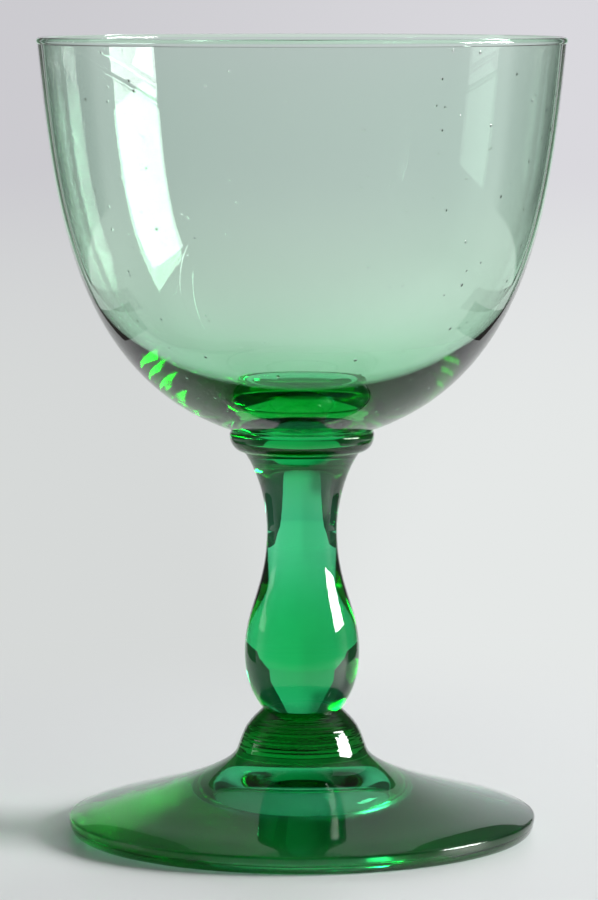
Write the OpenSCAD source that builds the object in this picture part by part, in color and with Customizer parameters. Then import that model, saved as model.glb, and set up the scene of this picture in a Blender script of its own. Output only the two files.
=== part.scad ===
// Stemmed cocktail glass in clear green glass. A blown bowl, a disc collar, a baluster stem, a domed knop
// and a spread foot are each shaped hot from their own gather, and fused to the next on a flat round face.
// Millimetres, +Z up, with the origin on the table under the middle of the foot.

/* [Bowl] */
// Diameter of the rim, across its rounded lip
rim_d = 80; // [72:0.5:88]
// Height of the bowl, from the collar to the top of the rim
bowl_h = 59.5; // [52:0.5:70]
// Wall of the bowl at the rim
wall = 0.8; // [0.7:0.1:1.2]
// Thickness of the rounded lip that fire polishing leaves on the rim
lip_d = 1.2; // [1.2:0.1:2]
// Thickness of the glass in the middle of the floor
floor_t = 3.5; // [3:0.1:7]
// Diameter of the face on which the bowl is fused to the collar
bowl_base_d = 20.8; // [18:0.1:21.6]
// Angle at which the underside leaves the collar, above the level
belly_rise = 18.5; // [12:0.5:26]
// How far the underside keeps that direction before it turns up
belly_hold = 26.5; // [20:0.5:29]
// How much further out the inside of the belly turns up than the outside, or further in when below zero
belly_reach = -0.4; // [-0.8:0.1:0.4]
// Angle at which the wall opens at the rim, off the upright
rim_flare = 5.8; // [2:0.1:9]
// How far down the outside of the wall keeps that direction
rim_hold = 22; // [18:0.5:24]
// How much more the inside leans at the rim, so that the wall grows thicker downwards
wall_taper = 1.75; // [1:0.25:2.5]
// How far down the inside of the wall keeps its direction
inner_hold = 25; // [23:0.5:26]

/* [Collar] */
// Diameter of the disc between the bowl and the stem
collar_d = 22; // [21.6:0.1:26]
// Thickness of that disc
collar_h = 3.2; // [2.6:0.1:5]
// Height of the round on its upper edge
collar_round = 0.6; // [0.3:0.1:1.2]

/* [Stem] */
// Height of the stem, from the knop to the collar
stem_h = 39.4; // [34:0.2:50]
// Diameter of the face on which the stem is fused to the collar
stem_top_d = 17.8; // [14:0.1:18.4]
// Angle at which the stem draws in under the collar, below the level
stem_top_fall = 50; // [40:1:75]
// How far it keeps that direction
stem_top_hold = 2.7; // [1:0.1:4]
// Diameter of the neck, the narrowest place
neck_d = 10.7; // [8:0.1:12]
// Depth of the neck below the collar
neck_drop = 12.1; // [9:0.1:14]
// How far the neck stays upright above its narrowest place
neck_hold_up = 4.9; // [3:0.1:7]
// How far the neck stays upright below its narrowest place
neck_hold_down = 8.6; // [4:0.1:10]
// Diameter of the swelling low on the stem
bulge_d = 17.5; // [14:0.1:20]
// Height of the swelling above the knop
bulge_rise = 8.8; // [7:0.1:11]
// How far the swelling stays upright above its widest place
bulge_hold_up = 6.6; // [4:0.1:9]
// How far the swelling stays upright below its widest place
bulge_hold_down = 5.3; // [3:0.1:6]
// Diameter of the face on which the stem is fused to the knop
stem_foot_d = 12; // [10:0.1:13]
// Angle at which the stem comes down on the knop, below the level
stem_foot_fall = 56; // [45:1:80]
// How far above the knop it takes that direction
stem_foot_hold = 1.6; // [1:0.1:3]

/* [Knop] */
// Height of the domed knop
knop_h = 6.2; // [5:0.1:8]
// Diameter of the face on which the knop is fused to the foot
knop_d = 19.8; // [17:0.1:22]
// Angle at which the dome leaves the stem, below the level
knop_shoulder = 44; // [30:1:55]
// Angle at which the dome leans out where it meets the foot, off the upright
knop_lean = 20; // [10:1:26]
// How far the dome keeps each of these directions
knop_hold = 3.7; // [2:0.1:4.5]

/* [Foot] */
// Diameter of the foot
foot_d = 71.2; // [66:0.2:80]
// Height of the foot, from the table to the knop
foot_h = 12.7; // [11:0.1:16]
// How far the top of the foot follows the dome's lean below the knop
root_hold = 3.4; // [1:0.1:4]
// Diameter at which the top of the foot falls most gently
spread_d = 50; // [42:0.2:54]
// Height of the top of the foot there
spread_h = 5.8; // [5.2:0.1:7]
// Angle of the top of the foot there, below the level
spread_fall = 16; // [12:0.5:21]
// How far towards the knop the top keeps that direction
spread_hold_in = 2.2; // [1:0.1:6]
// How far towards the edge the top keeps that direction
spread_hold_out = 7; // [4:0.1:8]
// Height of the foot's widest line above the table
edge_h = 2.3; // [1.8:0.1:2.8]
// Radius of the small round above that line
edge_round = 0.5; // [0.3:0.1:0.8]
// How far the edge draws in from that line down to the table
edge_tuck = 1.2; // [0.8:0.1:2]
// Angle at which the top runs into the small round, below the level
edge_fall = 20; // [14:1:30]
// How far the top takes that direction
edge_hold = 4.5; // [1:0.1:6]
// Diameter of the hollow in the middle of the foot's flat underside
hollow_d = 29.6; // [24:0.2:36]
// Depth of that hollow
hollow_h = 6; // [3:0.1:7]

/* [Hidden] */
$fn = 96;

// Straight pieces in a long curve and in a short one
long_steps = 20;
short_steps = 10;

// Heights of the fused faces above the table
knop_z = foot_h;
stem_z = knop_z + knop_h;
collar_z = stem_z + stem_h;
bowl_z = collar_z + collar_h;
rim_z = bowl_z + bowl_h;

// Radii of the fused faces
bowl_base_r = bowl_base_d / 2;
stem_top_r = stem_top_d / 2;
stem_foot_r = stem_foot_d / 2;
knop_r = knop_d / 2;

upright = [0, 1];

// Step of length one at an angle above the level, outwards
function heading(a) = [cos(a), sin(a)];

// Curve from a to d that leaves towards b and arrives from c
function curve(a, b, c, d, steps) = [
    for (i = [0:steps])
        let (t = i / steps, u = 1 - t)
            u * u * u * a + 3 * u * u * t * b + 3 * u * t * t * c + t * t * t * d
];

// Part of an ellipse with half axes w and h about the point c
function sweep(c, w, h, from, to, steps) = [
    for (i = [0:steps])
        let (a = from + (to - from) * i / steps)
            [c.x + w * cos(a), c.y + h * sin(a)]
];

// Solid of revolution about the glass's axis from an outline of radius and height
module turned(outline) {
    rotate_extrude() polygon(outline);
}

module bowl() {
    lip_r = lip_d / 2;
    lip = [rim_d / 2 - lip_r, rim_z - lip_r];
    lip_drop = sqrt(lip_d * lip_d - wall * wall) / 2;
    lip_turn = atan2(lip_drop, wall / 2);
    outer_rim = lip + [wall / 2, -lip_drop];
    inner_rim = lip - [wall / 2, lip_drop];
    outer_line = heading(90 - rim_flare);
    inner_line = heading(90 - rim_flare - wall_taper);
    base = [bowl_base_r, bowl_z];
    belly = base + belly_hold * heading(belly_rise);
    floor_mid = [0, bowl_z + floor_t];
    floor_out = [belly.x + belly_reach, floor_mid.y];
    color("#8fc9a8", 0.45)
    turned(concat(
        [[0, bowl_z]],
        curve(base, belly, outer_rim - rim_hold * outer_line, outer_rim, long_steps),
        sweep(lip, lip_r, lip_r, -lip_turn, 180 + lip_turn, short_steps),
        curve(inner_rim, inner_rim - inner_hold * inner_line, floor_out, floor_mid, long_steps)
    ));
}

module collar() {
    top_w = collar_d / 2 - bowl_base_r;
    low_w = collar_d / 2 - stem_top_r;
    low_h = collar_h - collar_round;
    middle_z = collar_z + low_h;
    color("#138a45", 0.8)
    turned(concat(
        [[0, collar_z]],
        sweep([stem_top_r, middle_z], low_w, low_h, -90, 0, short_steps),
        sweep([bowl_base_r, middle_z], top_w, collar_round, 0, 90, short_steps),
        [[0, bowl_z]]
    ));
}

module stem() {
    foot_end = [stem_foot_r, stem_z];
    bulge = [bulge_d / 2, stem_z + bulge_rise];
    neck = [neck_d / 2, collar_z - neck_drop];
    top_end = [stem_top_r, collar_z];
    color("#2fb36c", 0.75)
    turned(concat(
        [[0, stem_z]],
        curve(foot_end, foot_end + stem_foot_hold * heading(stem_foot_fall),
              bulge - bulge_hold_down * upright, bulge, short_steps),
        curve(bulge, bulge + bulge_hold_up * upright, neck - neck_hold_down * upright, neck, long_steps),
        curve(neck, neck + neck_hold_up * upright,
              top_end - stem_top_hold * heading(stem_top_fall), top_end, short_steps),
        [[0, collar_z]]
    ));
}

module knop() {
    foot_end = [knop_r, knop_z];
    stem_end = [stem_foot_r, stem_z];
    color("#0f7a38", 0.85)
    turned(concat(
        [[0, knop_z]],
        curve(foot_end, foot_end + knop_hold * heading(90 + knop_lean),
              stem_end + knop_hold * heading(-knop_shoulder), stem_end, long_steps),
        [[0, stem_z]]
    ));
}

module foot() {
    edge_r = foot_d / 2;
    edge_mid = [edge_r - edge_round, edge_h];
    edge_top = edge_mid + edge_round * heading(90 - edge_fall);
    spread = [spread_d / 2, spread_h];
    knop_end = [knop_r, knop_z];
    color("#2c9a58", 0.7)
    turned(concat(
        sweep([0, 0], hollow_d / 2, hollow_h, 90, 0, long_steps),
        sweep([edge_r - edge_tuck, edge_h], edge_tuck, edge_h, -90, 0, short_steps),
        sweep(edge_mid, edge_round, edge_round, 0, 90 - edge_fall, short_steps),
        curve(edge_top, edge_top + edge_hold * heading(180 - edge_fall),
              spread + spread_hold_out * heading(-spread_fall), spread, short_steps),
        curve(spread, spread + spread_hold_in * heading(180 - spread_fall),
              knop_end + root_hold * heading(knop_lean - 90), knop_end, short_steps),
        [[0, knop_z]]
    ));
}

bowl();
collar();
stem();
knop();
foot();
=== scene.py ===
import math

import bpy
import numpy as np
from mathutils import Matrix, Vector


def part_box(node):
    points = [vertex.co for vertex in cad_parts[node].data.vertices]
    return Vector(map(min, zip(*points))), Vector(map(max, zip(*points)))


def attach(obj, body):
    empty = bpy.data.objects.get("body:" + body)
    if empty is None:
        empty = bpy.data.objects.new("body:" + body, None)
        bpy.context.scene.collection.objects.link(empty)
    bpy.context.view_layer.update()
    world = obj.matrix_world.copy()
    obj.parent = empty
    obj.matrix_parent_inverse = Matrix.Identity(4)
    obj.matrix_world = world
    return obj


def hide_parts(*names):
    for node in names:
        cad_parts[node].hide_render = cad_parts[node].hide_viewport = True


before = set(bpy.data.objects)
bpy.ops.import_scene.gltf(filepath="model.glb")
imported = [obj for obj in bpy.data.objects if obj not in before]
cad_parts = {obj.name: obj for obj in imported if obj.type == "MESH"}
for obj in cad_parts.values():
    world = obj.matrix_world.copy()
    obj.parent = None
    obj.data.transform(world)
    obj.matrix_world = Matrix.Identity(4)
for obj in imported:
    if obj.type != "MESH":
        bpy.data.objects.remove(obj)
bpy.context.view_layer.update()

bl_info = {
    "name": "Green Stemmed Glass",
    "version": (1, 0, 0),
    "blender": (4, 5, 0),
    "location": "View3D > Sidebar > Goblet",
    "description": "Builds a green stemmed cocktail glass from fused glass pieces, and a small table studio",
    "category": "Add Mesh",
}

MM = 0.001
# Width and height of the picture in pixels, and the longer side of the camera's sensor in millimetres
PHOTO_SIZE = (598, 900)
SENSOR = 36.0

# Half of the hairline between two fused faces, so that a ray leaves one piece before it enters the next
FUSE_GAP = 0.01 * MM
# Points closer than this are one, and faces within it of a height lie on it
SAME = 1e-7
# Points round the axis, and along a long and a short curve of an outline
ROUND_STEPS = 256
LONG_STEPS = 72
SHORT_STEPS = 28
SHARP_ANGLE = math.radians(35)

# Soda-lime glass, the least and most light that passes through the stated depth of it, and the worn ring on
# which it stands
GLASS_IOR = 1.52
PASSED_LIMITS = (1e-4, 0.9999)
GROUND_ROUGHNESS = 0.3
# Small bubbles in the glass: the space that each has to itself, and the width and depth of its dent
SEED_SPACING = 4 * MM
SEED_SIZE = 0.3 * MM
SEED_DEPTH = SEED_SIZE / 3
# Tool marks round the knop, the number of waves that they are made of, and how much the spacing of these varies
KNOP_MARKS = {"depth": 0.02 * MM, "spacing": 0.7 * MM, "folds": 2, "seed": 5}
MARK_WAVES = 7
MARK_SPREAD = (0.7, 1.6)

# Table: the radius of its innermost and outermost ring, the rings and the points of a ring in its mesh, how far
# it lies under the glass, and its paper
TABLE_INNER = 0.06
TABLE_RADIUS = 60.0
TABLE_RINGS = 24
TABLE_STEPS = 96
TABLE_DROP = 5 * FUSE_GAP
PAPER_ROUGHNESS = 0.38
PAPER_SPECULAR = 0.25

# The studio's changes of brightness. Each pair is where a change begins and where it is complete: in metres on
# the table, or as a part of a direction of length one.
LIT_PAPER_END = (0.07, 0.2)
BACKDROP_RISE = (0.4, 2.5)
ACROSS_VIEW = (-0.08, 0.08)
CEILING_RISE = (0.3, 0.6)
FRONT_OF_ROOM = (0.25, -0.35)
FRONT_OF_TABLE = (-0.05, -0.16)
LEFT_CORNER_SIDE = (-0.05, -0.22)
LEFT_CORNER_RISE = (0.12, 0.28)
# The dark sides of the room: the slope and softness of the line outside which they lie, how far that line
# misses the glass, their end in radians off the line straight behind, and their limits on the table and upwards
SIDE_SLOPE = 0.47
SIDE_SOFTNESS = 0.012
SIDE_OFFSET = 0.05
SIDE_END = (1.45, 1.25)
SIDE_REACH = (0.33, 0.35)
SIDE_TOP = (0.7, 0.5)
# The shadow on the paper far behind: in metres, and in radians off the line straight behind
SHADOW_REACH = (0.8, 1.2)
SHADOW_SLANT = (0.15, 0.32)
# Surfaces that a ray has passed: two in a solid piece, four in both walls of the bowl
BOTH_WALLS = (2.5, 3.5)

# Flags, which are dark sheets of painted shade at each side of the paper, for the unlit sides of the room: the
# distance to the side, then two outlines of distance behind the glass and height
FLAG_SIDE = 0.12
TALL_FLAG = [(0.185, 0.014), (0.227, 0.026), (0.29, 0.077), (0.34, 0.13), (0.365, 0.18), (0.38, 0.215),
             (0.38, 0.6), (0.185, 0.6)]
LOW_FLAG = [(0.03, 0.0), (0.149, 0.0), (0.171, 0.009), (0.185, 0.014), (0.185, 0.024), (0.03, 0.024)]
# Softboxes: the place of each, the point that it faces, and its width and height
KEY_BOX = ((1.20, -0.04, 0.48), (0, 0, 0.48), (0.60, 0.50))
WINDOW_BOX = ((-1.20, 0.12, 0.27), (0, 0, 0.27), (0.40, 0.17))
BACK_BOX = ((0.55, 1.05, 0.50), (0, 0, 0), (1.0, 0.6))
# Surfaces that a ray may meet in the glass, as reflections, and where fused faces let it straight on
GLASS_BOUNCES = 24
MIRROR_BOUNCES = 16
FUSED_BOUNCES = 48


def width_of(node):
    """Diameter of a round CAD node, to a tenth of a millimetre, because its mesh lies a little inside."""
    low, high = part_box(node)
    return round((high.x - low.x) / MM, 1) * MM


def heights_of(node):
    """Lowest and highest point of a CAD node, to a hundredth of a millimetre."""
    low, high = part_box(node)
    return round(low.z / MM, 2) * MM, round(high.z / MM, 2) * MM


def linear(hex_colour):
    """sRGB hex as linear red, green and blue."""
    srgb = np.array([int(hex_colour[i:i + 2], 16) for i in (1, 3, 5)]) / 255
    return tuple(np.where(srgb <= 0.04045, srgb / 12.92, ((srgb + 0.055) / 1.055) ** 2.4))


def number(label, text, value, **kind):
    """A number as a property, with a unit or subtype where one fits."""
    return bpy.props.FloatProperty(name=label, description=text, default=value, **kind)


def length(label, text, size):
    """A size in millimetres as a length property."""
    return number(label, text, size * MM, unit="LENGTH", precision=5)


def slant(label, text, degrees):
    """An angle in degrees as an angle property."""
    return number(label, text, math.radians(degrees), subtype="ANGLE")


def colour(label, text, value):
    """An sRGB hex colour as a colour property."""
    return bpy.props.FloatVectorProperty(name=label, description=text, default=linear(value), subtype="COLOR",
                                         size=3, min=0.0, max=1.0)


class BowlSizes(bpy.types.PropertyGroup):
    """Sizes of the blown bowl."""
    rim_d: length("Rim", "Diameter across the rounded lip", width_of("bowl") / MM)
    wall: length("Wall", "Wall at the rim", 0.8)
    lip_d: length("Lip", "Thickness of the fire-polished lip", 1.2)
    floor_t: length("Floor", "Glass in the middle of the floor", 3.5)
    base_d: length("Base", "Diameter of the face fused to the collar", 20.8)
    belly_rise: slant("Belly rise", "Angle at which the underside leaves the collar", 18.5)
    belly_hold: length("Belly hold", "How far the underside keeps that direction", 26.5)
    belly_reach: length("Belly reach", "How much further out its inside turns up than its outside", -0.4)
    rim_flare: slant("Rim flare", "Angle at which the wall opens at the rim", 5.8)
    rim_hold: length("Rim hold", "How far down the outside keeps that direction", 22)
    wall_taper: slant("Wall taper", "How much more the inside leans at the rim", 1.75)
    inner_hold: length("Inner hold", "How far down the inside keeps its direction", 25)


class StemSizes(bpy.types.PropertyGroup):
    """Sizes of the collar, the baluster stem and the knop."""
    collar_d: length("Collar", "Diameter of the disc under the bowl", width_of("collar") / MM)
    top_d: length("Stem top", "Diameter of the face fused to the collar", width_of("stem") / MM)
    top_fall: slant("Stem top fall", "Angle at which the stem draws in under the collar", 50)
    top_hold: length("Stem top hold", "How far it keeps that direction", 2.7)
    neck_d: length("Neck", "Diameter at the narrowest place", 10.7)
    neck_drop: length("Neck drop", "Depth of the neck below the collar", 12.1)
    neck_hold_up: length("Neck hold up", "How far the neck stays upright above", 4.9)
    neck_hold_down: length("Neck hold down", "How far the neck stays upright below", 8.6)
    bulge_d: length("Bulge", "Diameter of the low swelling", 17.5)
    bulge_rise: length("Bulge rise", "Height of the swelling above the knop", 8.8)
    bulge_hold_up: length("Bulge hold up", "How far the swelling stays upright above", 6.6)
    bulge_hold_down: length("Bulge hold down", "How far the swelling stays upright below", 5.3)
    foot_d: length("Stem foot", "Diameter of the face fused to the knop", 12)
    foot_fall: slant("Stem foot fall", "Angle at which the stem comes down on the knop", 56)
    foot_hold: length("Stem foot hold", "How far above the knop it takes that direction", 1.6)
    knop_d: length("Knop", "Diameter of the face fused to the foot", width_of("knop") / MM)
    knop_shoulder: slant("Knop shoulder", "Angle at which the dome leaves the stem", 44)
    knop_lean: slant("Knop lean", "Angle at which the dome leans out above the foot", 20)
    knop_hold: length("Knop hold", "How far the dome keeps each direction", 3.7)


class FootSizes(bpy.types.PropertyGroup):
    """Sizes of the spread foot."""
    foot_d: length("Foot", "Diameter of the foot", width_of("foot") / MM)
    root_hold: length("Root hold", "How far the top of the foot follows the knop's lean", 3.4)
    spread_d: length("Spread", "Diameter at which the top falls most gently", 50)
    spread_h: length("Spread height", "Height of the top there", 5.8)
    spread_fall: slant("Spread fall", "Angle of the top there", 16)
    spread_hold_in: length("Spread hold in", "How far towards the knop the top keeps it", 2.2)
    spread_hold_out: length("Spread hold out", "How far towards the edge the top keeps it", 7)
    edge_h: length("Edge height", "Height of the widest line above the table", 2.3)
    edge_round: length("Edge round", "Radius of the small round above that line", 0.5)
    edge_tuck: length("Edge tuck", "How far the edge draws in from that line down to the table", 1.2)
    edge_fall: slant("Edge fall", "Angle at which the top runs into the small round", 20)
    edge_hold: length("Edge hold", "How far the top takes that direction", 4.5)
    hollow_d: length("Hollow", "Diameter of the polished hollow in the middle of the underside", 29.6)
    hollow_h: length("Hollow depth", "Depth of that hollow", 6)


class GlassColours(bpy.types.PropertyGroup):
    """White light after it has passed through a given depth of each glass."""
    depth: length("Depth", "Depth of glass that gives these colours", 10)
    bowl: colour("Bowl glass", "Thin blown glass", "#88e9a8")
    stem: colour("Stem glass", "Solid glass of the collar and stem", "#52dd9a")
    knop: colour("Knop glass", "Solid glass of the knop", "#2aae69")
    foot: colour("Foot glass", "Glass of the foot", "#7be2b6")


class StudioSettings(bpy.types.PropertyGroup):
    """Camera, backdrop and light."""
    camera_distance: length("Camera distance", "Level distance from the glass's axis", 664)
    camera_above_rim: length("Camera height", "Height of the lens above the rim", 8.25)
    camera_tilt: slant("Camera tilt", "How far the lens looks down", 6.086)
    focal_px: number("Focal length", "In pixels of the photograph", 4395.0)
    axis_px: number("Axis", "Column of the glass's axis", 302.0)
    paper: colour("Paper", "Table top", "#dcdfdf")
    backdrop_near: colour("Near backdrop", "Where the backdrop leaves the table", "#e5e8e7")
    backdrop_far: colour("Far backdrop", "Where the backdrop rises", "#dad9de")
    left_shade: number("Left shade", "Brightness on the left", 0.86)
    ceiling: colour("Ceiling", "White ceiling", "#b4b7b8")
    dim_side: number("Dim sides", "The room's brightness beside the paper", 0.12)
    # Painted shade: the dark grey that the flags glow with, for the unlit sides of the room beside the paper
    flags: colour("Flags", "Dark cloth beside the paper", "#565250")
    key_power: number("Key", "Softbox on the right", 36.0, unit="POWER")
    window_power: number("Window", "Faint window on the left", 0.3, unit="POWER")
    back_power: number("Back", "Softbox behind", 8.0, unit="POWER")
    room_light: number("Room light", "Even light of the room", 0.14)
    dim_room: number("Dim room", "What the room in front shows of itself in reflections", 0.12)
    dim_left: number("Dim left", "The room's brightness high on the left", 0.5)


class GobletSettings(bpy.types.PropertyGroup):
    """All settings of the glass and its studio."""
    bowl: bpy.props.PointerProperty(type=BowlSizes)
    stem: bpy.props.PointerProperty(type=StemSizes)
    foot: bpy.props.PointerProperty(type=FootSizes)
    glass: bpy.props.PointerProperty(type=GlassColours)
    studio: bpy.props.PointerProperty(type=StudioSettings)


def heading(angle):
    """Step of length one at an angle above the level, outwards."""
    return np.array([math.cos(angle), math.sin(angle)])


def curve(start, leave, arrive, end, steps):
    """Cubic curve of radius and height from start to end, which leaves towards one point and arrives from
    another."""
    t = np.linspace(0, 1, steps + 1)[:, None]
    u = 1 - t
    return u ** 3 * start + 3 * u * u * t * leave + 3 * u * t * t * arrive + t ** 3 * end


def sweep(centre, across, up, start, stop, steps):
    """Part of an ellipse about a centre: across times the cosine and up times the sine of a turning angle."""
    turn = np.linspace(start, stop, steps + 1)
    return np.column_stack([centre[0] + across * np.cos(turn), centre[1] + up * np.sin(turn)])


def outline(*stretches):
    """Joins stretches of an outline and drops points that repeat the one before."""
    points = np.vstack(stretches)
    apart = np.hypot(*np.diff(points, axis=0).T) > SAME
    return points[np.concatenate([[True], apart])]


def hand_marks(rings, turn, depth, spacing, folds, seed):
    """Unevenness of hand-worked glass as a radius offset: waves along the outline, each with a few folds round
    the axis and a random phase, that die away at the two ends."""
    rng = np.random.default_rng(seed)
    along = np.concatenate([[0], np.cumsum(np.hypot(*np.diff(rings, axis=0).T))])
    ends = np.clip(np.minimum(along, along[-1] - along) / (2 * spacing), 0, 1)
    waves = 2 * math.pi / (spacing * rng.uniform(*MARK_SPREAD, MARK_WAVES))
    folds_each = rng.integers(0, folds + 1, MARK_WAVES)
    phase = rng.uniform(0, 2 * math.pi, (2, MARK_WAVES))
    length_wise = np.sin(along[:, None] * waves + phase[0])
    round_wise = np.cos(turn[:, None] * folds_each + phase[1])
    return depth * ends[:, None] * (length_wise @ round_wise.T) / math.sqrt(MARK_WAVES)


def turned_piece(name, points, fused_heights, ground_heights=(), marks=None):
    """Surface of revolution: each outline point (radius, height) goes round the axis as a ring, and the two end
    points on the axis become poles. Faces that lie on a fused height are marked, because no light turns there
    in fused glass, and so are those on a ground height."""
    rings = points[1:-1]
    turn = np.arange(ROUND_STEPS) * (2 * math.pi / ROUND_STEPS)
    radius = np.repeat(rings[:, :1], ROUND_STEPS, axis=1)
    if marks:
        radius += hand_marks(rings, turn, **marks)
    vertices = np.empty((len(rings), ROUND_STEPS, 3))
    vertices[:, :, 0] = radius * np.cos(turn)
    vertices[:, :, 1] = radius * np.sin(turn)
    vertices[:, :, 2] = rings[:, 1:]
    poles = np.array([[0, 0, points[0][1]], [0, 0, points[-1][1]]])
    vertices = np.vstack([vertices.reshape(-1, 3), poles])

    here = np.arange(ROUND_STEPS)
    after = (here + 1) % ROUND_STEPS
    row = np.arange(len(rings) - 1)[:, None] * ROUND_STEPS
    above = row + ROUND_STEPS
    quads = np.stack([row + here, row + after, above + after, above + here], -1).reshape(-1, 4)
    last = (len(rings) - 1) * ROUND_STEPS
    first_pole = len(rings) * ROUND_STEPS
    low_fan = np.stack([np.full_like(here, first_pole), after, here], -1)
    high_fan = np.stack([np.full_like(here, first_pole + 1), last + here, last + after], -1)

    mesh = bpy.data.meshes.new(name)
    mesh.from_pydata(vertices.tolist(), [], quads.tolist() + low_fan.tolist() + high_fan.tolist())
    mesh.shade_smooth()
    mesh.set_sharp_from_angle(angle=SHARP_ANGLE)

    corners_z = [vertices[faces][:, :, 2] for faces in (quads, low_fan, high_fan)]
    middle_z = np.concatenate([z.mean(1) for z in corners_z])
    spread_z = np.concatenate([np.ptp(z, axis=1) for z in corners_z])
    for mark, heights in (("fused", fused_heights), ("ground", ground_heights)):
        marked = np.zeros(len(middle_z), dtype=np.float32)
        for height in heights:
            marked[(np.abs(middle_z - height) < SAME) & (spread_z < SAME)] = 1
        mesh.attributes.new(mark, "FLOAT", "FACE").data.foreach_set("value", marked)
    piece = bpy.data.objects.new(name, mesh)
    bpy.context.scene.collection.objects.link(piece)
    return piece


def add(tree, kind, inputs=None, links=None, **settings):
    """Adds a node, sets its properties and inputs, and links the given sockets into it."""
    node = tree.nodes.new(kind)
    for key, value in settings.items():
        setattr(node, key, value)
    for key, value in (inputs or {}).items():
        node.inputs[key].default_value = value
    for key, socket in (links or {}).items():
        tree.links.new(socket, node.inputs[key])
    return node


def fused_glass(name, passed, depth, seeded=False, ground=False):
    """Fire-polished soda-lime glass coloured green by iron and chromium: smooth and clear, with a colour that
    deepens with its thickness. The colour that passes through one depth gives the absorption per metre. Seeded
    glass shows small dark specks, where bubbles in thin blown glass dent its surface. Ground glass is matt on
    the faces that stand on the table."""
    material = bpy.data.materials.new(name)
    material.use_nodes = True
    tree = material.node_tree
    tree.nodes.clear()
    absorbed = -np.log(np.clip(passed, *PASSED_LIMITS)) / depth
    density = float(absorbed.max())
    kept = 1 - absorbed / density
    glass = add(tree, "ShaderNodeBsdfPrincipled", {
        "Base Color": (1, 1, 1, 1), "IOR": GLASS_IOR, "Transmission Weight": 1.0, "Roughness": 0.0})
    if ground:
        ring = add(tree, "ShaderNodeAttribute", attribute_name="ground")
        roughness = add(tree, "ShaderNodeMath", {1: GROUND_ROUGHNESS}, {0: ring.outputs["Fac"]},
                        operation="MULTIPLY")
        tree.links.new(roughness.outputs[0], glass.inputs["Roughness"])
    if seeded:
        place = add(tree, "ShaderNodeTexCoord").outputs["Object"]
        cells = add(tree, "ShaderNodeTexVoronoi", {"Scale": 1 / SEED_SPACING}, {"Vector": place})
        seeds = add(tree, "ShaderNodeMapRange", {"From Min": SEED_SIZE / SEED_SPACING, "From Max": 0.0},
                    {"Value": cells.outputs["Distance"]}, interpolation_type="SMOOTHSTEP")
        dented = add(tree, "ShaderNodeBump", {"Distance": SEED_DEPTH}, {"Height": seeds.outputs[0]})
        tree.links.new(dented.outputs[0], glass.inputs["Normal"])
    straight_on = add(tree, "ShaderNodeBsdfTransparent")
    fused = add(tree, "ShaderNodeAttribute", attribute_name="fused")
    surface = add(tree, "ShaderNodeMixShader", links={
        0: fused.outputs["Fac"], 1: glass.outputs[0], 2: straight_on.outputs[0]})
    body = add(tree, "ShaderNodeVolumeAbsorption", {"Color": (*kept, 1), "Density": density})
    add(tree, "ShaderNodeOutputMaterial", links={"Surface": surface.outputs[0], "Volume": body.outputs[0]})
    return material


def finish_piece(piece, node, material):
    """Gives a piece its glass and lets it stand for its CAD node."""
    piece.data.materials.append(material)
    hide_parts(node)
    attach(piece, "root")


class GOBLET_OT_bowl(bpy.types.Operator):
    """Blown bowl: an outer and an inner cubic curve, joined by the round lip"""
    bl_idname = "goblet.bowl"
    bl_label = "Bowl"

    def execute(self, context):
        goblet = context.scene.goblet
        s = goblet.bowl
        base_z, rim_z = heights_of("bowl")
        fused_z = base_z + FUSE_GAP
        lip_r = s.lip_d / 2
        lip = np.array([s.rim_d / 2 - lip_r, rim_z - lip_r])
        lip_drop = math.sqrt(s.lip_d ** 2 - s.wall ** 2) / 2
        lip_turn = math.atan2(lip_drop, s.wall / 2)
        outer_rim = lip + [s.wall / 2, -lip_drop]
        inner_rim = lip - [s.wall / 2, lip_drop]
        outer_line = heading(math.pi / 2 - s.rim_flare)
        inner_line = heading(math.pi / 2 - s.rim_flare - s.wall_taper)
        base = np.array([s.base_d / 2, fused_z])
        belly = base + s.belly_hold * heading(s.belly_rise)
        floor_mid = np.array([0, base_z + s.floor_t])
        floor_out = np.array([belly[0] + s.belly_reach, floor_mid[1]])
        points = outline(
            [[0, fused_z]],
            curve(base, belly, outer_rim - s.rim_hold * outer_line, outer_rim, LONG_STEPS),
            sweep(lip, lip_r, lip_r, -lip_turn, math.pi + lip_turn, SHORT_STEPS),
            curve(inner_rim, inner_rim - s.inner_hold * inner_line, floor_out, floor_mid, LONG_STEPS))
        piece = turned_piece("blown_bowl", points, [fused_z])
        material = fused_glass("soda_lime_glass_blown_pale_green", goblet.glass.bowl, goblet.glass.depth,
                               seeded=True)
        finish_piece(piece, "bowl", material)
        return {"FINISHED"}


class GOBLET_OT_collar(bpy.types.Operator):
    """Disc collar: a quarter round above and a quarter ellipse below its widest line"""
    bl_idname = "goblet.collar"
    bl_label = "Collar"

    def execute(self, context):
        goblet = context.scene.goblet
        low_z, high_z = heights_of("collar")
        top_r, stem_r, widest = goblet.bowl.base_d / 2, goblet.stem.top_d / 2, goblet.stem.collar_d / 2
        top_round = widest - top_r
        middle_z = high_z - top_round
        low_fused, high_fused = low_z + FUSE_GAP, high_z - FUSE_GAP
        points = outline(
            [[0, low_fused]],
            sweep([stem_r, middle_z], widest - stem_r, middle_z - low_fused, -math.pi / 2, 0, SHORT_STEPS),
            sweep([top_r, middle_z], top_round, high_fused - middle_z, 0, math.pi / 2, SHORT_STEPS),
            [[0, high_fused]])
        piece = turned_piece("collar_disc", points, [low_fused, high_fused])
        material = fused_glass("soda_lime_glass_pressed_green", goblet.glass.stem, goblet.glass.depth)
        finish_piece(piece, "collar", material)
        return {"FINISHED"}


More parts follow.
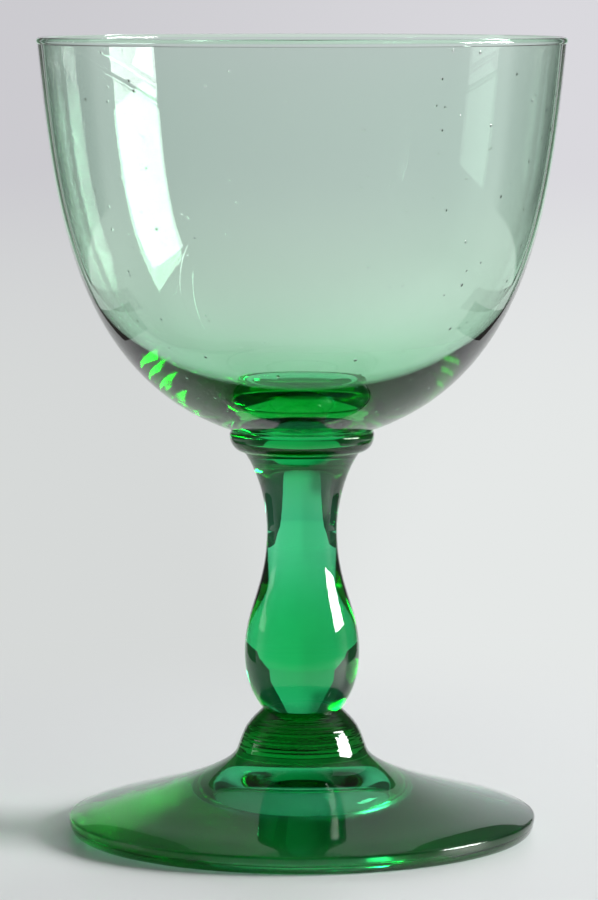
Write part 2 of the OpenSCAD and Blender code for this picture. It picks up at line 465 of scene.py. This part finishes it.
class GOBLET_OT_stem(bpy.types.Operator):
    """Solid baluster stem: cubic curves from the knop out to the swelling, in to the neck and out to the
    collar"""
    bl_idname = "goblet.stem"
    bl_label = "Stem"

    def execute(self, context):
        goblet = context.scene.goblet
        s = goblet.stem
        low_z, high_z = heights_of("stem")
        low_fused, high_fused = low_z + FUSE_GAP, high_z - FUSE_GAP
        upright = heading(math.pi / 2)
        foot_end = np.array([s.foot_d / 2, low_fused])
        bulge = np.array([s.bulge_d / 2, low_z + s.bulge_rise])
        neck = np.array([s.neck_d / 2, high_z - s.neck_drop])
        top_end = np.array([s.top_d / 2, high_fused])
        points = outline(
            [[0, low_fused]],
            curve(foot_end, foot_end + s.foot_hold * heading(s.foot_fall),
                  bulge - s.bulge_hold_down * upright, bulge, SHORT_STEPS),
            curve(bulge, bulge + s.bulge_hold_up * upright, neck - s.neck_hold_down * upright, neck,
                  LONG_STEPS),
            curve(neck, neck + s.neck_hold_up * upright, top_end - s.top_hold * heading(s.top_fall), top_end,
                  LONG_STEPS),
            [[0, high_fused]])
        piece = turned_piece("baluster_stem", points, [low_fused, high_fused])
        material = fused_glass("soda_lime_glass_drawn_green", goblet.glass.stem, goblet.glass.depth)
        finish_piece(piece, "stem", material)
        return {"FINISHED"}


class GOBLET_OT_knop(bpy.types.Operator):
    """Domed knop: one cubic curve from the foot up to the stem"""
    bl_idname = "goblet.knop"
    bl_label = "Knop"

    def execute(self, context):
        goblet = context.scene.goblet
        s = goblet.stem
        low_z, high_z = heights_of("knop")
        low_fused, high_fused = low_z + FUSE_GAP, high_z - FUSE_GAP
        foot_end = np.array([s.knop_d / 2, low_fused])
        stem_end = np.array([s.foot_d / 2, high_fused])
        points = outline(
            [[0, low_fused]],
            curve(foot_end, foot_end + s.knop_hold * heading(math.pi / 2 + s.knop_lean),
                  stem_end + s.knop_hold * heading(-s.knop_shoulder), stem_end, 2 * LONG_STEPS),
            [[0, high_fused]])
        piece = turned_piece("domed_knop", points, [low_fused, high_fused], marks=KNOP_MARKS)
        material = fused_glass("soda_lime_glass_tooled_green", goblet.glass.knop, goblet.glass.depth)
        finish_piece(piece, "knop", material)
        return {"FINISHED"}


class GOBLET_OT_foot(bpy.types.Operator):
    """Spread foot: a quarter ellipse for the hollow, one for the edge's side, a small round above it, and two
    cubic curves up to the knop"""
    bl_idname = "goblet.foot"
    bl_label = "Foot"

    def execute(self, context):
        goblet = context.scene.goblet
        s = goblet.foot
        lean = goblet.stem.knop_lean
        high_z = heights_of("foot")[1]
        high_fused = high_z - FUSE_GAP
        edge_r = s.foot_d / 2
        edge_mid = np.array([edge_r - s.edge_round, s.edge_h])
        edge_top = edge_mid + s.edge_round * heading(math.pi / 2 - s.edge_fall)
        spread = np.array([s.spread_d / 2, s.spread_h])
        knop_end = np.array([goblet.stem.knop_d / 2, high_fused])
        points = outline(
            sweep([0, 0], s.hollow_d / 2, s.hollow_h, math.pi / 2, 0, LONG_STEPS),
            sweep([edge_r - s.edge_tuck, s.edge_h], s.edge_tuck, s.edge_h, -math.pi / 2, 0, SHORT_STEPS),
            sweep(edge_mid, s.edge_round, s.edge_round, 0, math.pi / 2 - s.edge_fall, SHORT_STEPS),
            curve(edge_top, edge_top + s.edge_hold * heading(math.pi - s.edge_fall),
                  spread + s.spread_hold_out * heading(-s.spread_fall), spread, SHORT_STEPS),
            curve(spread, spread + s.spread_hold_in * heading(math.pi - s.spread_fall),
                  knop_end + s.root_hold * heading(lean - math.pi / 2), knop_end, SHORT_STEPS),
            [[0, high_fused]])
        piece = turned_piece("spread_foot", points, [high_fused], [0])
        material = fused_glass("soda_lime_glass_spread_green", goblet.glass.foot, goblet.glass.depth,
                               ground=True)
        finish_piece(piece, "foot", material)
        return {"FINISHED"}


def floor_disc(name):
    """Flat disc a hairline under the glass: rings whose radius grows by a constant factor, about one middle
    point."""
    reach = np.geomspace(TABLE_INNER, TABLE_RADIUS, TABLE_RINGS)
    here = np.arange(TABLE_STEPS)
    turn = here * (2 * math.pi / TABLE_STEPS)
    ring = np.stack([np.cos(turn), np.sin(turn), np.zeros(TABLE_STEPS)], -1)
    vertices = np.vstack([(reach[:, None, None] * ring).reshape(-1, 3), [[0, 0, 0]]]) - [0, 0, TABLE_DROP]
    after = (here + 1) % TABLE_STEPS
    row = np.arange(TABLE_RINGS - 1)[:, None] * TABLE_STEPS
    outer = row + TABLE_STEPS
    quads = np.stack([row + here, outer + here, outer + after, row + after], -1).reshape(-1, 4)
    fan = np.stack([np.full_like(here, TABLE_RINGS * TABLE_STEPS), here, after], -1)
    mesh = bpy.data.meshes.new(name)
    mesh.from_pydata(vertices.tolist(), [], quads.tolist() + fan.tolist())
    disc = bpy.data.objects.new(name, mesh)
    bpy.context.scene.collection.objects.link(disc)
    return disc


def seen_rays(tree):
    """One for rays that the camera, a reflection or a refraction sends out, and zero for all others."""
    path = add(tree, "ShaderNodeLightPath").outputs
    seen = path["Is Camera Ray"]
    for kind in ("Is Glossy Ray", "Is Transmission Ray"):
        seen = add(tree, "ShaderNodeMath", links={0: seen, 1: path[kind]}, operation="MAXIMUM").outputs[0]
    return seen


def lit_from_right(tree, studio, across, colour):
    """A backdrop colour that grows lighter from left to right across the view behind the glass."""
    left, right = ACROSS_VIEW
    shade = add(tree, "ShaderNodeMapRange", {"From Min": left, "From Max": right, "To Min": studio.left_shade},
                {"Value": across}, interpolation_type="SMOOTHSTEP")
    return add(tree, "ShaderNodeVectorMath", links={0: colour, 1: shade.outputs[0]},
               operation="MULTIPLY").outputs[0]


def level_of(tree, dim, *limits):
    """Full brightness, but a dim one where every limit holds. A limit is a value, the number at which it begins
    to hold and the number at which it holds in full, and it scales what the limits before it leave."""
    left_over = {}
    for value, begins, full in limits:
        holds = add(tree, "ShaderNodeMapRange", {"From Min": begins, "From Max": full},
                    {"Value": value, **left_over}, interpolation_type="SMOOTHSTEP").outputs[0]
        left_over = {"To Max": holds}
    return add(tree, "ShaderNodeMix", {2: 1.0, 3: dim}, {0: holds}).outputs[0]


def front_level(tree, studio, along, limits):
    """Full brightness, but in the glass's reflections a dim room on the camera's side."""
    reflections = add(tree, "ShaderNodeLightPath").outputs["Glossy Depth"]
    return level_of(tree, studio.dim_room, (reflections, 0, 1), (along, *limits))


def side_level(tree, studio, aside, behind, offset, *limits):
    """Full brightness, but by way of the glass a dark room at a slant behind it: outside a line that leaves the
    paper's edge, where the distance to the side less a share of the distance behind is over an offset, and not
    straight aside."""
    outside = add(tree, "ShaderNodeMath", {1: -SIDE_SLOPE}, {0: behind, 2: aside}, operation="MULTIPLY_ADD")
    slanting = add(tree, "ShaderNodeMath", links={0: aside, 1: behind}, operation="ARCTAN2")
    through_glass = add(tree, "ShaderNodeLightPath").outputs["Is Glossy Ray"]
    return level_of(tree, studio.dim_side, (through_glass, 0, 1),
                    (outside.outputs[0], offset, offset + SIDE_SOFTNESS), (slanting.outputs[0], *SIDE_END),
                    *limits)


def shadow_level(tree, studio, aside, behind, reach):
    """Full brightness, but through both walls of the bowl a paper that falls into shadow towards the sides far
    behind."""
    slanting = add(tree, "ShaderNodeMath", links={0: aside, 1: behind}, operation="ARCTAN2").outputs[0]
    surfaces = add(tree, "ShaderNodeLightPath").outputs["Transmission Depth"]
    return level_of(tree, studio.dim_side, (surfaces, *BOTH_WALLS), (reach, *SHADOW_REACH),
                    (slanting, *SHADOW_SLANT), (slanting, *SIDE_END))


def table_paper(studio):
    """Matt white paper, a little smooth. Past the table it is a backdrop that keeps its own brightness."""
    material = bpy.data.materials.new("matt_white_paper")
    material.use_nodes = True
    tree = material.node_tree
    tree.nodes.clear()
    place = add(tree, "ShaderNodeTexCoord").outputs["Object"]
    reach = add(tree, "ShaderNodeVectorMath", links={0: place}, operation="LENGTH").outputs["Value"]
    direction = add(tree, "ShaderNodeVectorMath", links={0: place}, operation="NORMALIZE").outputs[0]
    towards = add(tree, "ShaderNodeSeparateXYZ", links={0: direction}).outputs
    spot = add(tree, "ShaderNodeSeparateXYZ", links={0: place}).outputs
    aside = add(tree, "ShaderNodeMath", links={0: spot["X"]}, operation="ABSOLUTE").outputs[0]
    beside = side_level(tree, studio, aside, spot["Y"], SIDE_OFFSET, (reach, *SIDE_REACH))

    in_front = front_level(tree, studio, spot["Y"], FRONT_OF_TABLE)
    paper_level = add(tree, "ShaderNodeMath", links={0: in_front, 1: beside}, operation="MULTIPLY")
    white = add(tree, "ShaderNodeVectorMath", {0: studio.paper}, {1: paper_level.outputs[0]},
                operation="MULTIPLY")
    paper = add(tree, "ShaderNodeBsdfPrincipled", {
        "Roughness": PAPER_ROUGHNESS, "Specular IOR Level": PAPER_SPECULAR}, {"Base Color": white.outputs[0]})

    near, far = BACKDROP_RISE
    rising = add(tree, "ShaderNodeMapRange", {"From Min": near, "From Max": far}, {"Value": reach},
                 interpolation_type="SMOOTHSTEP")
    backdrop = add(tree, "ShaderNodeMix", {6: (*studio.backdrop_near, 1), 7: (*studio.backdrop_far, 1)},
                   {0: rising.outputs[0]}, data_type="RGBA")
    strength = front_level(tree, studio, towards["Y"], FRONT_OF_ROOM)
    for level in (beside, shadow_level(tree, studio, aside, spot["Y"], reach)):
        strength = add(tree, "ShaderNodeMath", links={0: strength, 1: level}, operation="MULTIPLY").outputs[0]
    glow = add(tree, "ShaderNodeEmission", links={
        "Color": lit_from_right(tree, studio, towards["X"], backdrop.outputs[2]), "Strength": strength})

    lit, unlit = LIT_PAPER_END
    past_table = add(tree, "ShaderNodeMapRange", {"From Min": lit, "From Max": unlit}, {"Value": reach},
                     interpolation_type="SMOOTHSTEP")
    share = add(tree, "ShaderNodeMath", links={0: past_table.outputs[0], 1: seen_rays(tree)},
                operation="MULTIPLY")
    surface = add(tree, "ShaderNodeMixShader", links={
        0: share.outputs[0], 1: paper.outputs[0], 2: glow.outputs[0]})
    add(tree, "ShaderNodeOutputMaterial", links={"Surface": surface.outputs[0]})
    return material


def studio_world(studio):
    """Room: pale like the backdrop near the level and darker overhead, with an even light for matt surfaces."""
    world = bpy.data.worlds.new("studio_room")
    world.use_nodes = True
    tree = world.node_tree
    tree.nodes.clear()
    direction = add(tree, "ShaderNodeTexCoord").outputs["Generated"]
    towards = add(tree, "ShaderNodeSeparateXYZ", links={0: direction}).outputs
    wall, overhead = CEILING_RISE
    rise = add(tree, "ShaderNodeMapRange", {"From Min": wall, "From Max": overhead}, {"Value": towards["Z"]},
               interpolation_type="SMOOTHSTEP")
    seen = add(tree, "ShaderNodeMix", {6: (*studio.backdrop_far, 1), 7: (*studio.ceiling, 1)},
               {0: rise.outputs[0]}, data_type="RGBA")
    aside = add(tree, "ShaderNodeMath", links={0: towards["X"]}, operation="ABSOLUTE").outputs[0]
    corner = level_of(tree, studio.dim_left, (towards["X"], *LEFT_CORNER_SIDE),
                      (towards["Z"], *LEFT_CORNER_RISE))
    beside = side_level(tree, studio, aside, towards["Y"], 0, (towards["Z"], *SIDE_TOP))
    strength = front_level(tree, studio, towards["Y"], FRONT_OF_ROOM)
    for level in (corner, beside):
        strength = add(tree, "ShaderNodeMath", links={0: strength, 1: level}, operation="MULTIPLY").outputs[0]
    shown = add(tree, "ShaderNodeBackground", links={
        "Color": lit_from_right(tree, studio, towards["X"], seen.outputs[2]), "Strength": strength})
    even = add(tree, "ShaderNodeBackground", {"Color": (1, 1, 1, 1), "Strength": studio.room_light})
    surface = add(tree, "ShaderNodeMixShader", links={
        0: seen_rays(tree), 1: even.outputs[0], 2: shown.outputs[0]})
    add(tree, "ShaderNodeOutputWorld", links={"Surface": surface.outputs[0]})
    return world


def painted_shade_sheet(name, painted_grey, solid_only=False):
    """Painted shade: a sheet that reflects no light and glows an even dark grey, which stands for the unlit
    sides of the room. The kind for solid glass only is clear to rays that have passed more surfaces than a
    solid piece has."""
    material = bpy.data.materials.new(name)
    material.use_nodes = True
    tree = material.node_tree
    tree.nodes.clear()
    surface = add(tree, "ShaderNodeBsdfPrincipled", {
        "Base Color": (0, 0, 0, 1), "Specular IOR Level": 0.0, "Emission Color": (*painted_grey, 1),
        "Emission Strength": 1.0})
    if solid_only:
        surfaces = add(tree, "ShaderNodeLightPath").outputs["Transmission Depth"]
        hollow = add(tree, "ShaderNodeMath", {1: BOTH_WALLS[0]}, {0: surfaces}, operation="GREATER_THAN")
        clear = add(tree, "ShaderNodeBsdfTransparent")
        surface = add(tree, "ShaderNodeMixShader", links={
            0: hollow.outputs[0], 1: surface.outputs[0], 2: clear.outputs[0]})
    add(tree, "ShaderNodeOutputMaterial", links={"Surface": surface.outputs[0]})
    return material


def hang_flags(name, material, corners):
    """A flat sheet of painted shade at each side of the paper, which gives the glass its dark edges and is not
    itself in the picture."""
    for x, side in ((-FLAG_SIDE, "left"), (FLAG_SIDE, "right")):
        mesh = bpy.data.meshes.new(name + side)
        mesh.from_pydata([(x, y, z) for y, z in corners], [], [list(range(len(corners)))])
        mesh.materials.append(material)
        flag = bpy.data.objects.new(name + side, mesh)
        flag.visible_camera = flag.visible_diffuse = flag.visible_shadow = False
        bpy.context.scene.collection.objects.link(flag)


def softbox(name, place, aim, size, power):
    """Rectangular lamp that faces a point."""
    lamp = bpy.data.lights.new(name, "AREA")
    lamp.shape = "RECTANGLE"
    lamp.size, lamp.size_y = size
    lamp.energy = power
    box = bpy.data.objects.new(name, lamp)
    box.location = place
    towards = Vector(aim) - Vector(place)
    box.rotation_euler = towards.to_track_quat("-Z", "Y").to_euler()
    box.visible_camera = False
    bpy.context.scene.collection.objects.link(box)
    return box


class GOBLET_OT_stage(bpy.types.Operator):
    """Table, backdrop, softboxes, flags of painted shade and camera"""
    bl_idname = "goblet.stage"
    bl_label = "Studio"

    def execute(self, context):
        scene = context.scene
        studio = scene.goblet.studio
        table = floor_disc("table")
        table.data.materials.append(table_paper(studio))
        scene.world = studio_world(studio)

        # Painted shade: flags that glow dark grey beside the paper, seen only by way of the glass
        tall_shade_sheet = painted_shade_sheet("black_cloth_in_dim_light", studio.flags)
        low_shade_sheet = painted_shade_sheet("black_cloth_low_in_dim_light", studio.flags, solid_only=True)
        hang_flags("flag_", tall_shade_sheet, TALL_FLAG)
        hang_flags("low_flag_", low_shade_sheet, LOW_FLAG)

        softbox("key_softbox", *KEY_BOX, studio.key_power)
        softbox("left_window", *WINDOW_BOX, studio.window_power)
        glow = softbox("back_softbox", *BACK_BOX, studio.back_power)
        glow.visible_glossy = glow.visible_transmission = False

        lens = bpy.data.cameras.new("camera")
        lens.lens = studio.focal_px * SENSOR / max(PHOTO_SIZE)
        lens.sensor_width = SENSOR
        lens.shift_x = (PHOTO_SIZE[0] / 2 - studio.axis_px) / max(PHOTO_SIZE)
        camera = bpy.data.objects.new("camera", lens)
        rim_z = heights_of("bowl")[1]
        camera.location = (0, -studio.camera_distance, rim_z + studio.camera_above_rim)
        camera.rotation_euler = (math.pi / 2 - studio.camera_tilt, 0, 0)
        scene.collection.objects.link(camera)
        scene.camera = camera

        scene.view_settings.view_transform = "Standard"
        scene.cycles.max_bounces = GLASS_BOUNCES
        scene.cycles.transmission_bounces = GLASS_BOUNCES
        scene.cycles.glossy_bounces = MIRROR_BOUNCES
        scene.cycles.transparent_max_bounces = FUSED_BOUNCES
        return {"FINISHED"}


class GOBLET_PT_panel(bpy.types.Panel):
    """Sizes, colours and the building steps of the glass"""
    bl_idname = "GOBLET_PT_panel"
    bl_label = "Green Stemmed Glass"
    bl_space_type = "VIEW_3D"
    bl_region_type = "UI"
    bl_category = "Goblet"

    def draw(self, context):
        goblet = context.scene.goblet
        for part in (goblet.bowl, goblet.stem, goblet.foot, goblet.glass, goblet.studio):
            column = self.layout.column(align=True)
            for name in part.__annotations__:
                column.prop(part, name)
        for step in STEPS:
            self.layout.operator(step.bl_idname)


STEPS = (GOBLET_OT_stage, GOBLET_OT_bowl, GOBLET_OT_collar, GOBLET_OT_stem, GOBLET_OT_knop, GOBLET_OT_foot)
SETTINGS = (BowlSizes, StemSizes, FootSizes, GlassColours, StudioSettings, GobletSettings)
CLASSES = (*SETTINGS, *STEPS, GOBLET_PT_panel)


def register():
    for cls in CLASSES:
        bpy.utils.register_class(cls)
    bpy.types.Scene.goblet = bpy.props.PointerProperty(type=GobletSettings)


def unregister():
    del bpy.types.Scene.goblet
    for cls in reversed(CLASSES):
        bpy.utils.unregister_class(cls)


def main():
    register()
    for step in STEPS:
        group, name = step.bl_idname.split(".")
        getattr(getattr(bpy.ops, group), name)()


if __name__ == "__main__":
    main()
